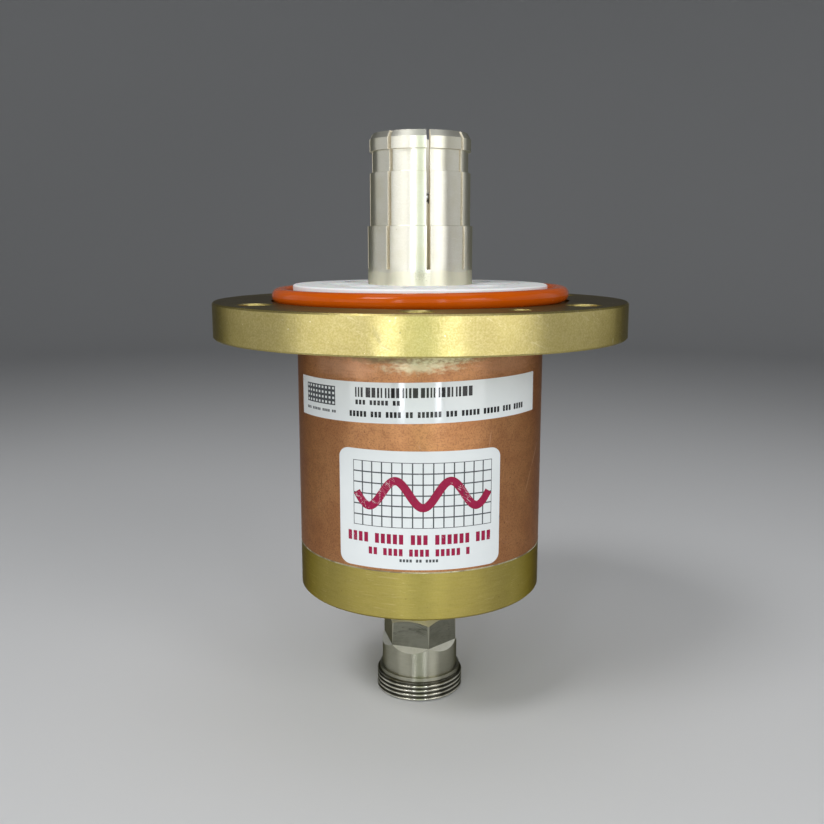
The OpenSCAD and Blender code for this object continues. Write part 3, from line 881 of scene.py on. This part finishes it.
@dataclass
class LineEnd:
    """The bolted end: flange, seal, disc, sprung connector and what it hides.

    The fields that end in margin, off, across or lean are limits that tell faces apart.
    """

    shop: Workshop
    slot_half: float = 0.6
    slot_turn: float = 9.0
    slot_step: float = 45.0
    slot_margin: float = 0.02
    slot_floor_off: float = 0.3
    sawn_across: float = 0.2
    sawn_lean: float = 0.01
    bore_radius: float = 13.1
    bore_margin: float = 0.5
    bored_off: float = 0.1
    bore_floor: float = 9.05
    sleeve_top: float = 29.8
    sleeve_gap: float = 0.1
    sleeve_wall: float = 0.6
    flat_angle: float = 0.05
    eased: float = 0.08
    sharp_from: float = 50.0

    def build(self) -> None:
        """Make the sprung connector and its sleeve and dress the solids of this end."""
        self.connector()
        self.sleeve()
        self.shop.dress({
            "flange": FLANGE_BRASS, "flange_solder": SOLDER, "face_seal": SEAL_RUBBER,
            "anchor_insulator": INSULATOR_PLASTIC, "finger_spring": SPRING_STEEL,
            "fixing_screw": SCREW_STEEL, "flat_washer": SCREW_STEEL,
            "split_washer": SPRING_STEEL, "upper_plug": PLUG_BRASS, "inner_tube": TUBE_COPPER,
        })

    def connector(self) -> None:
        """Copy the connector, tell its sawn and bored walls apart and ease its edges."""
        mesh = self.shop.solid_copy("bullet")
        bmesh.ops.dissolve_limit(mesh, angle_limit=math.radians(self.flat_angle),
                                 verts=mesh.verts, edges=mesh.edges)
        for face in mesh.faces:
            middle = face.calc_center_median() / MM
            if self.is_sawn(face.normal, middle):
                face.material_index = 1
            elif self.is_bored(face.normal, middle):
                face.material_index = 2
        ease(mesh, [edge for edge in mesh.edges if is_sharp(edge)], self.eased)
        piece = self.shop.piece("sprung_connector", mesh, "silver_plate", SILVER_PLATE, SAWN_METAL,
                                BORED_PLATE, sharp=self.sharp_from, weighted=True)
        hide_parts("bullet")

    def sleeve(self) -> None:
        """Stand a thin sleeve in the bore, which shows through the slots below the spring."""
        outer = self.bore_radius - self.sleeve_gap
        inner = outer - self.sleeve_wall
        low = self.bore_floor + self.sleeve_gap
        corners = ((outer, low), (outer, self.sleeve_top), (inner, self.sleeve_top), (inner, low))
        mesh = revolve([on_round(radius, 0.0, height) for radius, height in corners], closed=True)
        self.shop.piece("backing_sleeve", mesh, "silver_plate", BACKING_PLATE)

    def is_bored(self, normal: Vector, middle: Vector) -> bool:
        """Say whether a face that isn't sawn is on the wall or the floor of the bore."""
        near = middle.xy.length < self.bore_radius + self.bore_margin
        return near and middle.xy.dot(normal.xy) < self.bored_off

    def is_sawn(self, normal: Vector, middle: Vector) -> bool:
        """Say whether a face is the wall or the floor of a slot.

        Args:
            normal: the face's direction.
            middle: its middle in millimetres.

        Returns:
            Whether it is sawn.
        """
        turn = math.degrees(math.atan2(middle.x, -middle.y))
        turn = (turn - self.slot_turn + self.slot_step / 2) % self.slot_step - self.slot_step / 2
        off = abs(middle.xy.length * math.sin(math.radians(turn)))
        across = abs(normal.xy.dot(middle.xy.normalized()))
        if across < self.sawn_across and abs(normal.z) < self.sawn_lean:
            return off < self.slot_half + self.slot_margin
        return normal.z > ACROSS_AXIS and off < self.slot_floor_off


@dataclass
class Body:
    """The outer tube and the cap soldered to it."""

    shop: Workshop

    def build(self) -> None:
        """Dress the solids of the body."""
        self.shop.dress({"outer_tube": TUBE_COPPER, "end_cap": CAP_BRASS, "cap_solder": SOLDER,
                         "step_plug": PLUG_BRASS})


@dataclass
class SmallConnector:
    """The threaded connector under the cap.

    top and rim are the heights of the thread's two ends, and sunk, start_drop, faded and
    trim say how far the ridge is drawn past what shows of it. The fields that end in
    margin, above, below, outside, lean or spread are limits that tell faces apart.
    """

    shop: Workshop
    root_radius: float = 13.6
    crest_radius: float = 14.5
    crest_flat: float = 0.4
    crest_round: float = 0.21
    crest_steps: int = 3
    flank_turn: float = 60.0
    foot_shares: Pair = (0.96, 0.98)
    pitch: float = 1.5
    top: float = -125.9
    rim: float = -132.7
    sunk: float = 0.12
    start_drop: float = 0.05
    faded: float = 0.1
    trim: float = 0.4
    bevel: float = 0.45
    steps: int = 64
    eased: float = 0.07
    eased_above: float = 0.05
    eased_outside: float = 9.0
    thread_margin: float = 0.01
    thread_sharp_from: float = 25.0
    milled_below: float = -105.8
    milled_above: float = -117.6
    run_out_lean: Pair = (0.3, 0.95)
    flat_spread: float = 0.012

    def build(self) -> None:
        """Make the shell with its thread and dress the inner pieces."""
        self.shell()
        self.thread()
        self.shop.dress({
            "din_rear_bead": INSULATOR_PLASTIC, "din_front_bead": INSULATOR_PLASTIC,
            "din_bead_keeper": SILVER_PLATE, "din_contact": SILVER_PLATE,
        })

    def shell(self) -> None:
        """Copy the shell's solid and bring its plain thread down to the root."""
        mesh = self.shop.solid_copy("din_shell")
        for vert in mesh.verts:
            radius = vert.co.xy.length / MM
            if vert.co.z / MM < self.top + self.thread_margin and radius > self.root_radius:
                vert.co.xy *= self.root_radius / radius
        bmesh.ops.dissolve_degenerate(mesh, dist=TINY, edges=mesh.edges)
        for face in mesh.faces:
            face.normal_update()
            middle = face.calc_center_median() / MM
            if self.milled_above < middle.z < self.milled_below:
                if self.run_out_lean[0] < face.normal.z < self.run_out_lean[1]:
                    face.material_index = 2
                elif self.is_flat(face, middle):
                    face.material_index = 1
        edges = [edge for edge in mesh.edges if is_sharp(edge) and self.is_outer(edge)]
        ease(mesh, edges, self.eased)
        piece = self.shop.piece("din_shell_body", mesh, "shell_plate", SHELL_PLATE, MILLED_PLATE,
                                CUTTER_PLATE, weighted=True)
        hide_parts("din_shell")

    def is_outer(self, edge: bmesh.types.BMEdge) -> bool:
        """Say whether an edge is on the outside of the hexagon, the bar or the land."""
        low, inner = self.top + self.eased_above, self.eased_outside
        return all(v.co.z / MM > low and v.co.xy.length / MM > inner for v in edge.verts)

    def is_flat(self, face: BMFace, middle: Vector) -> bool:
        """Say whether a face is milled: neither round the axis nor across it.

        Args:
            face: the face.
            middle: its middle.

        Returns:
            Whether it is milled.
        """
        def lean(point: Vector) -> float:
            """Return how far the face's direction is the one from the axis to a point."""
            return Vector((point.x, point.y, 0.0)).normalized().dot(face.normal)

        spread = max(abs(lean(vert.co) - lean(middle)) for vert in face.verts)
        return spread > self.flat_spread and abs(face.normal.z) < ACROSS_AXIS

    def crest_edge(self) -> list[Pair]:
        """Round the edge between the crest's flat and a flank.

        Returns:
            The points of the rounding, each a radius and a height.
        """
        turns = [math.radians(self.flank_turn * step / self.crest_steps)
                 for step in range(self.crest_steps + 1)]
        start = self.crest_flat / 2 - self.crest_round * math.tan(turns[-1] / 2)
        return [(self.crest_radius - self.crest_round * (1 - math.cos(turn)),
                 start + self.crest_round * math.sin(turn)) for turn in turns]

    def thread(self) -> None:
        """Sweep one thread ridge down a helix and trim it to the shell."""
        mesh = bmesh.new()
        base, half = self.root_radius - self.sunk, self.pitch / 2
        side = (*self.crest_edge(), (self.root_radius, half * self.foot_shares[0]),
                (base, half * self.foot_shares[1]))
        section = (*((radius, -height) for radius, height in reversed(side)), *side)
        start = self.top - self.start_drop + self.pitch
        mesh.faces.new([mesh.verts.new(on_round(radius, 0.0, start + height))
                        for radius, height in section])
        turns = (start - self.rim) / self.pitch + 1.0
        count = int(turns * self.steps)
        bmesh.ops.spin(
            mesh, geom=mesh.faces[:], cent=(0, 0, 0), axis=(0, 0, 1),
            dvec=(0, 0, -self.pitch / self.steps * MM), angle=-2 * math.pi * count / self.steps,
            steps=count, use_merge=False, use_duplicate=False,
        )
        self.fade(mesh, base)
        for height, clear in ((self.rim, -1), (self.top + self.trim, 1)):
            cut = bmesh.ops.bisect_plane(
                mesh, geom=mesh.verts[:] + mesh.edges[:] + mesh.faces[:], dist=TINY,
                plane_co=(0, 0, height * MM), plane_no=(0, 0, clear), clear_outer=True,
            )
            edges = [e for e in cut["geom_cut"] if isinstance(e, bmesh.types.BMEdge)]
            bmesh.ops.holes_fill(mesh, edges=edges, sides=0)
        bmesh.ops.recalc_face_normals(mesh, faces=mesh.faces)
        self.shop.piece("coupling_thread", mesh, "shell_plate", THREAD_PLATE,
                        sharp=self.thread_sharp_from)

    def fade(self, mesh: BMesh, base: float) -> None:
        """Bevel the ridge at both ends of the thread.

        Args:
            mesh: the whole ridge.
            base: the least radius that it is brought down to.
        """
        for vert in mesh.verts:
            radius, height = vert.co.xy.length / MM, vert.co.z / MM
            share = min(self.top - height, height - self.rim) / self.bevel
            depth = self.crest_radius - self.root_radius + self.faded
            reach = self.root_radius - self.faded + depth * max(0.0, min(1.0, share))
            if radius > reach:
                vert.co.xy *= max(reach, base) / radius


@dataclass(frozen=True)
class Field:
    """A printed field on a label laid flat, in millimetres from its middle."""

    left: float
    right: float
    low: float
    high: float

    def grid(self, mesh: BMesh, across: int, up: int = 1) -> list[bmesh.types.BMVert]:
        """Add the field to a mesh as a grid.

        Args:
            mesh: the flat print to add to.
            across: how many faces it has across.
            up: how many it has up.

        Returns:
            The grid's points.
        """
        middle = Vector(((self.left + self.right) / 2, (self.low + self.high) / 2, 0.0))
        scale = Matrix.Diagonal((self.right - self.left, self.high - self.low, 1.0, 1.0))
        made = bmesh.ops.create_grid(mesh, x_segments=across, y_segments=up, size=0.5,
                                     matrix=Matrix.Translation(middle) @ scale)
        return made["verts"]


@dataclass(frozen=True)
class Row:
    """Groups of even upright dashes in a field, a step from one dash to the next."""

    area: Field
    groups: tuple[int, ...]
    step: float


@dataclass(frozen=True)
class Net:
    """A lattice of thin lines, with its cells across and up and the width of a line."""

    area: Field
    cells: tuple[int, int]
    line: float


@dataclass
class Labels:
    """The two printed labels, with their print as thin shells on the film.

    The print is plain fields, a lattice, a wave and rows of dashes, with no lettering.
    A lattice line longer than net_longest is divided, so that it bends with the label.
    """

    shop: Workshop
    film_radius: float = 39.81
    embedded: float = 0.012
    rise: float = 0.022
    longest_face: float = 1.2
    strip_middle: float = -27.4
    strip_tilt: float = 1.2
    front_middle: float = -59.6
    wave: Field = Field(-19.5, 21.5, 1.05, 9.05)
    wave_turns: float = 2.5
    wave_stroke: float = 2.5
    wave_lift: float = 0.015
    wave_faces: int = 180
    strip_net: Net = Net(Field(-41.6, -27.2, -1.6, 4.2), (9, 4), 0.75)
    front_net: Net = Net(Field(-20.6, 22.6, -5.2, 14.6), (14, 6), 0.38)
    net_level: float = 1e-4
    net_longest: float = 1.4
    strip_rows: tuple[Row, ...] = (
        Row(Field(-19.6, -5.2, -0.65, 0.75), (3, 5, 2), 1.2),
        Row(Field(-21.7, 37.6, -4.25, -2.55), (5, 3, 4, 2, 6, 3, 5), 1.2),
    )
    strip_grey_rows: tuple[Row, ...] = (Row(Field(-41.8, -27.0, -3.8, -3.0), (3, 5, 4), 0.9),)
    front_grey_rows: tuple[Row, ...] = (Row(Field(-6.0, 6.4, -15.6, -14.7), (4, 2, 4), 1.0),)
    front_rows: tuple[Row, ...] = (
        Row(Field(-22.6, 22.9, -10.2, -7.2), (4, 5, 3, 6, 3), 1.85),
        Row(Field(-15.6, 15.8, -13.8, -11.6), (2, 4, 4, 5), 1.6),
    )
    dash_share: float = 0.68
    group_gap: float = 0.9
    bars: Field = Field(-19.7, 15.6, 1.55, 4.45)
    bar_widths: tuple[float, ...] = (0.5, 1.1, 0.5, 0.7, 1.5, 0.5, 0.9, 0.5, 0.5, 1.2, 0.7)
    bar_gaps: tuple[float, ...] = (0.45, 0.4, 0.8, 0.4, 0.5, 0.4, 0.95, 0.4)
    bar_strides: tuple[int, int] = (5, 3)

    def build(self) -> None:
        """Dress both films and print on them."""
        self.shop.dress({"strip_label": LABEL_FILM, "front_label": LABEL_FILM})
        self.strip()
        self.front()

    def plate(self, mesh: BMesh, area: Field) -> None:
        """Add a plain field to a mesh, in faces that are short enough to bend."""
        area.grid(mesh, max(1, math.ceil((area.right - area.left) / self.longest_face)))

    def wrap(self, name: str, mesh: BMesh, finish: Finish, middle: float,
             tilt: float = 0.0, lift: float = 0.0) -> None:
        """Bend flat print round the tube and give it a thickness.

        Args:
            name: the piece's name.
            mesh: the flat print, which is used up.
            finish: the ink.
            middle: the height of the label's middle.
            tilt: the angle in degrees by which the label is askew.
            lift: how far the ink stands above the other inks.
        """
        top = self.film_radius + self.rise + lift
        for vert in mesh.verts:
            turn = vert.co.x / self.film_radius
            lean = top * math.sin(turn) * math.tan(math.radians(tilt))
            vert.co = on_round(top, math.degrees(turn), middle + vert.co.y + lean)
        bmesh.ops.recalc_face_normals(mesh, faces=mesh.faces)
        for face in mesh.faces:
            face.normal_update()
            if face.normal.xy.dot(face.calc_center_median().xy) < 0:
                face.normal_flip()
        thickness = (self.rise + lift + self.embedded) * MM
        bmesh.ops.solidify(mesh, geom=mesh.faces[:], thickness=thickness)
        bmesh.ops.recalc_face_normals(mesh, faces=mesh.faces)
        self.shop.piece(name, mesh, "label_film", finish)

    def rows(self, mesh: BMesh, rows: tuple[Row, ...]) -> None:
        """Fill fields with groups of even upright dashes.

        Args:
            mesh: the flat print to add to.
            rows: the rows, each with how many dashes its groups have, over and over.
        """
        for row in rows:
            area, step, place, group = row.area, row.step, row.area.left, 0
            while place < area.right - step:
                for _ in range(row.groups[group % len(row.groups)]):
                    if place + step * self.dash_share > area.right:
                        break
                    dash = Field(place, place + step * self.dash_share, area.low, area.high)
                    self.plate(mesh, dash)
                    place += step
                place += step * self.group_gap
                group += 1

    def lattice(self, mesh: BMesh, net: Net) -> None:
        """Add a lattice of thin lines.

        Args:
            mesh: the flat print to add to.
            net: the lattice.
        """
        verts = net.area.grid(mesh, *net.cells)
        cells = list({face for vert in verts for face in vert.link_faces})
        bmesh.ops.inset_individual(mesh, faces=cells, thickness=net.line / 2, use_even_offset=True)
        bmesh.ops.delete(mesh, geom=cells, context="FACES")
        level = [e for e in mesh.edges if abs(e.verts[0].co.y - e.verts[1].co.y) < self.net_level
                 and e.calc_length() > self.net_longest]
        bmesh.ops.subdivide_edges(mesh, edges=level, cuts=2, use_grid_fill=True)

    def bar_block(self, mesh: BMesh) -> None:
        """Add a block of upright bars of uneven widths.

        Args:
            mesh: the flat print to add to.
        """
        place, index = self.bars.left, 0
        width_stride, gap_stride = self.bar_strides
        while place < self.bars.right:
            width = self.bar_widths[index * width_stride % len(self.bar_widths)]
            self.plate(mesh, Field(place, place + width, self.bars.low, self.bars.high))
            place += width + self.bar_gaps[index * gap_stride % len(self.bar_gaps)]
            index += 1

    def strip(self) -> None:
        """Print the strip: a small lattice, a block of bars and rows of dashes."""
        mesh = bmesh.new()
        self.bar_block(mesh)
        self.rows(mesh, self.strip_rows)
        self.wrap("strip_print", mesh, BLACK_INK, self.strip_middle, self.strip_tilt)
        mesh = bmesh.new()
        self.lattice(mesh, self.strip_net)
        self.rows(mesh, self.strip_grey_rows)
        self.wrap("strip_print_grey", mesh, GREY_INK, self.strip_middle, self.strip_tilt)

    def front(self) -> None:
        """Print the large label: a lattice, a wave across it and rows of dashes."""
        mesh = bmesh.new()
        self.lattice(mesh, self.front_net)
        self.rows(mesh, self.front_grey_rows)
        self.wrap("front_print_grey", mesh, GREY_INK, self.front_middle)
        mesh = bmesh.new()
        self.sway(mesh)
        self.wrap("front_wave", mesh, CRIMSON_INK, self.front_middle, lift=self.wave_lift)
        mesh = bmesh.new()
        self.rows(mesh, self.front_rows)
        self.wrap("front_print_crimson", mesh, CRIMSON_INK, self.front_middle)

    def sway(self, mesh: BMesh) -> None:
        """Add the wave, a ribbon of even width.

        Args:
            mesh: the flat print to add to.
        """
        area = self.wave
        middle, reach = (area.low + area.high) / 2, (area.high - area.low) / 2
        rate = 2 * math.pi * self.wave_turns / (area.right - area.left)
        for vert in area.grid(mesh, self.wave_faces):
            side = self.wave_stroke / 2 if vert.co.y > middle else -self.wave_stroke / 2
            turn = rate * (vert.co.x - area.left)
            slope = -reach * rate * math.cos(turn)
            across = Vector((-slope, 1.0)).normalized() * side
            vert.co.x += across.x
            vert.co.y = middle - reach * math.sin(turn) + across.y


@dataclass(frozen=True)
class Softbox:
    """A soft rectangular lamp, aimed at a point, with the spread of its beam in degrees."""

    name: str
    place: Point
    size: Pair
    radiance: float
    colour: Colour = (1.0, 1.0, 1.0)
    spread: float = 100.0
    aim: Point = (0.0, 0.0, -0.04)

    def hang(self) -> None:
        """Hang the lamp, out of the camera's sight."""
        data = bpy.data.lights.new(self.name, "AREA")
        data.shape = "RECTANGLE"
        data.size, data.size_y = self.size
        data.color = self.colour
        data.spread = math.radians(self.spread)
        data.energy = self.radiance * math.pi * self.size[0] * self.size[1]
        lamp = bpy.data.objects.new(self.name, data)
        lamp.location = self.place
        away = Vector(self.place) - Vector(self.aim)
        lamp.rotation_euler = away.to_track_quat("Z", "Y").to_euler()
        lamp.visible_camera = False
        bpy.context.scene.collection.objects.link(lamp)


def upright(name: str, x: float, y: float, z: float, size: Pair, radiance: float,
            colour: Colour = (1.0, 1.0, 1.0)) -> Softbox:
    """Return a wide-beamed lamp that stands upright and faces the axis."""
    return Softbox(name, (x, y, z), size, radiance, colour, spread=WIDE_BEAM, aim=(0.0, 0.0, z))


@dataclass
class Studio:
    """A pale floor that curves up all round, soft lamps and the camera.

    clip holds the nearest and the farthest distance that the camera sees.
    """

    floor_height: float = -0.1327
    floor_radius: float = 1.1
    cove_radius: float = 0.5
    cove_steps: int = 12
    wall_height: float = 0.9
    floor_colour: Colour = (0.64, 0.645, 0.655)
    floor_roughness: float = 0.9
    floor_gloss: float = 0.2
    air: Colour = (0.11, 0.112, 0.115)
    lens: float = 40.99
    sensor: float = 36.0
    clip: Pair = (0.01, 20.0)
    camera_place: Point = (0.0, -0.305403, 0.017552)
    camera_pitch: float = 10.132
    camera_pan: float = 0.487
    lamps: tuple[Softbox, ...] = (
        Softbox("key", (-0.40, -0.44, 0.74), (0.30, 0.30), 3.4),
        Softbox("fill", (0.55, -0.60, 0.42), (0.30, 0.30), 1.3),
        Softbox("overhead", (0.0, 0.15, 0.95), (0.7, 0.7), 0.34),
        upright("strip_left", -0.138, -0.50, 0.12, (0.046, 0.48), 5.2, (0.97, 1.0, 1.07)),
        upright("strip_right", 0.143, -0.50, 0.12, (0.046, 0.48), 5.0, (0.97, 1.0, 1.07)),
        upright("strip_middle", 0.002, -0.51, 0.12, (0.23, 0.48), 0.78, (0.87, 1.0, 0.80)),
        upright("panel_left", -0.396, -0.396, 0.07, (0.40, 0.38), 1.0),
        upright("panel_right", 0.362, -0.416, 0.07, (0.36, 0.38), 1.0),
        upright("side_left", -0.497, 0.030, 0.13, (0.54, 0.38), 0.38),
        upright("side_right", 0.497, 0.030, 0.13, (0.54, 0.38), 0.41),
    )

    def build(self) -> None:
        """Set up the stage, the lamps, the air and the camera."""
        self.floor()
        for lamp in self.lamps:
            lamp.hang()
        self.world()
        self.camera()

    def profile(self) -> list[Vector]:
        """Draw half of the floor's section, from its middle to the top of its edge.

        Returns:
            The section's corners.
        """
        corners = [(0.0, self.floor_height), (self.floor_radius, self.floor_height)]
        for step in range(1, self.cove_steps + 1):
            turn = math.radians(90 * step / self.cove_steps)
            corners.append((self.floor_radius + self.cove_radius * math.sin(turn),
                            self.floor_height + self.cove_radius * (1 - math.cos(turn))))
        corners.append((self.floor_radius + self.cove_radius, self.wall_height))
        return [Vector((radius, 0.0, height)) for radius, height in corners]

    def floor(self) -> None:
        """Spin the floor with its rising edge and paint it."""
        mesh = revolve(self.profile(), closed=False)
        data = bpy.data.meshes.new("floor")
        mesh.to_mesh(data)
        mesh.free()
        data.shade_smooth()
        floor = bpy.data.objects.new("floor", data)
        bpy.context.scene.collection.objects.link(floor)
        paper = bpy.data.materials.new("pale_paper")
        paper.use_nodes = True
        shader = paper.node_tree.nodes["Principled BSDF"].inputs
        shader["Base Color"].default_value = rgba(self.floor_colour)
        shader["Roughness"].default_value = self.floor_roughness
        shader["Specular IOR Level"].default_value = self.floor_gloss
        data.materials.append(paper)

    def world(self) -> None:
        """Fill the air with an even, soft grey light."""
        world = bpy.data.worlds.new("air")
        bpy.context.scene.world = world
        world.use_nodes = True
        background = world.node_tree.nodes["Background"].inputs
        background["Color"].default_value = rgba(self.air)
        background["Strength"].default_value = 1.0

    def camera(self) -> None:
        """Place the camera where the photograph was taken from."""
        data = bpy.data.cameras.new("camera")
        data.lens, data.sensor_width = self.lens, self.sensor
        data.clip_start, data.clip_end = self.clip
        camera = bpy.data.objects.new("camera", data)
        camera.location = self.camera_place
        pitch, pan = math.radians(90.0 - self.camera_pitch), math.radians(self.camera_pan)
        camera.rotation_euler = (pitch, 0.0, pan)
        bpy.context.scene.collection.objects.link(camera)
        bpy.context.scene.camera = camera


def main() -> None:
    """Build the adapter and its studio."""
    logging.basicConfig(level=logging.INFO, format="%(name)s: %(message)s")
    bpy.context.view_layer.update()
    bpy.context.scene.view_settings.view_transform = "Standard"
    Studio().build()
    shop = Workshop()
    for part in (LineEnd(shop), Body(shop), SmallConnector(shop), Labels(shop)):
        part.build()
        LOG.info("%s built", type(part).__name__)


if __name__ == "__main__":
    main()
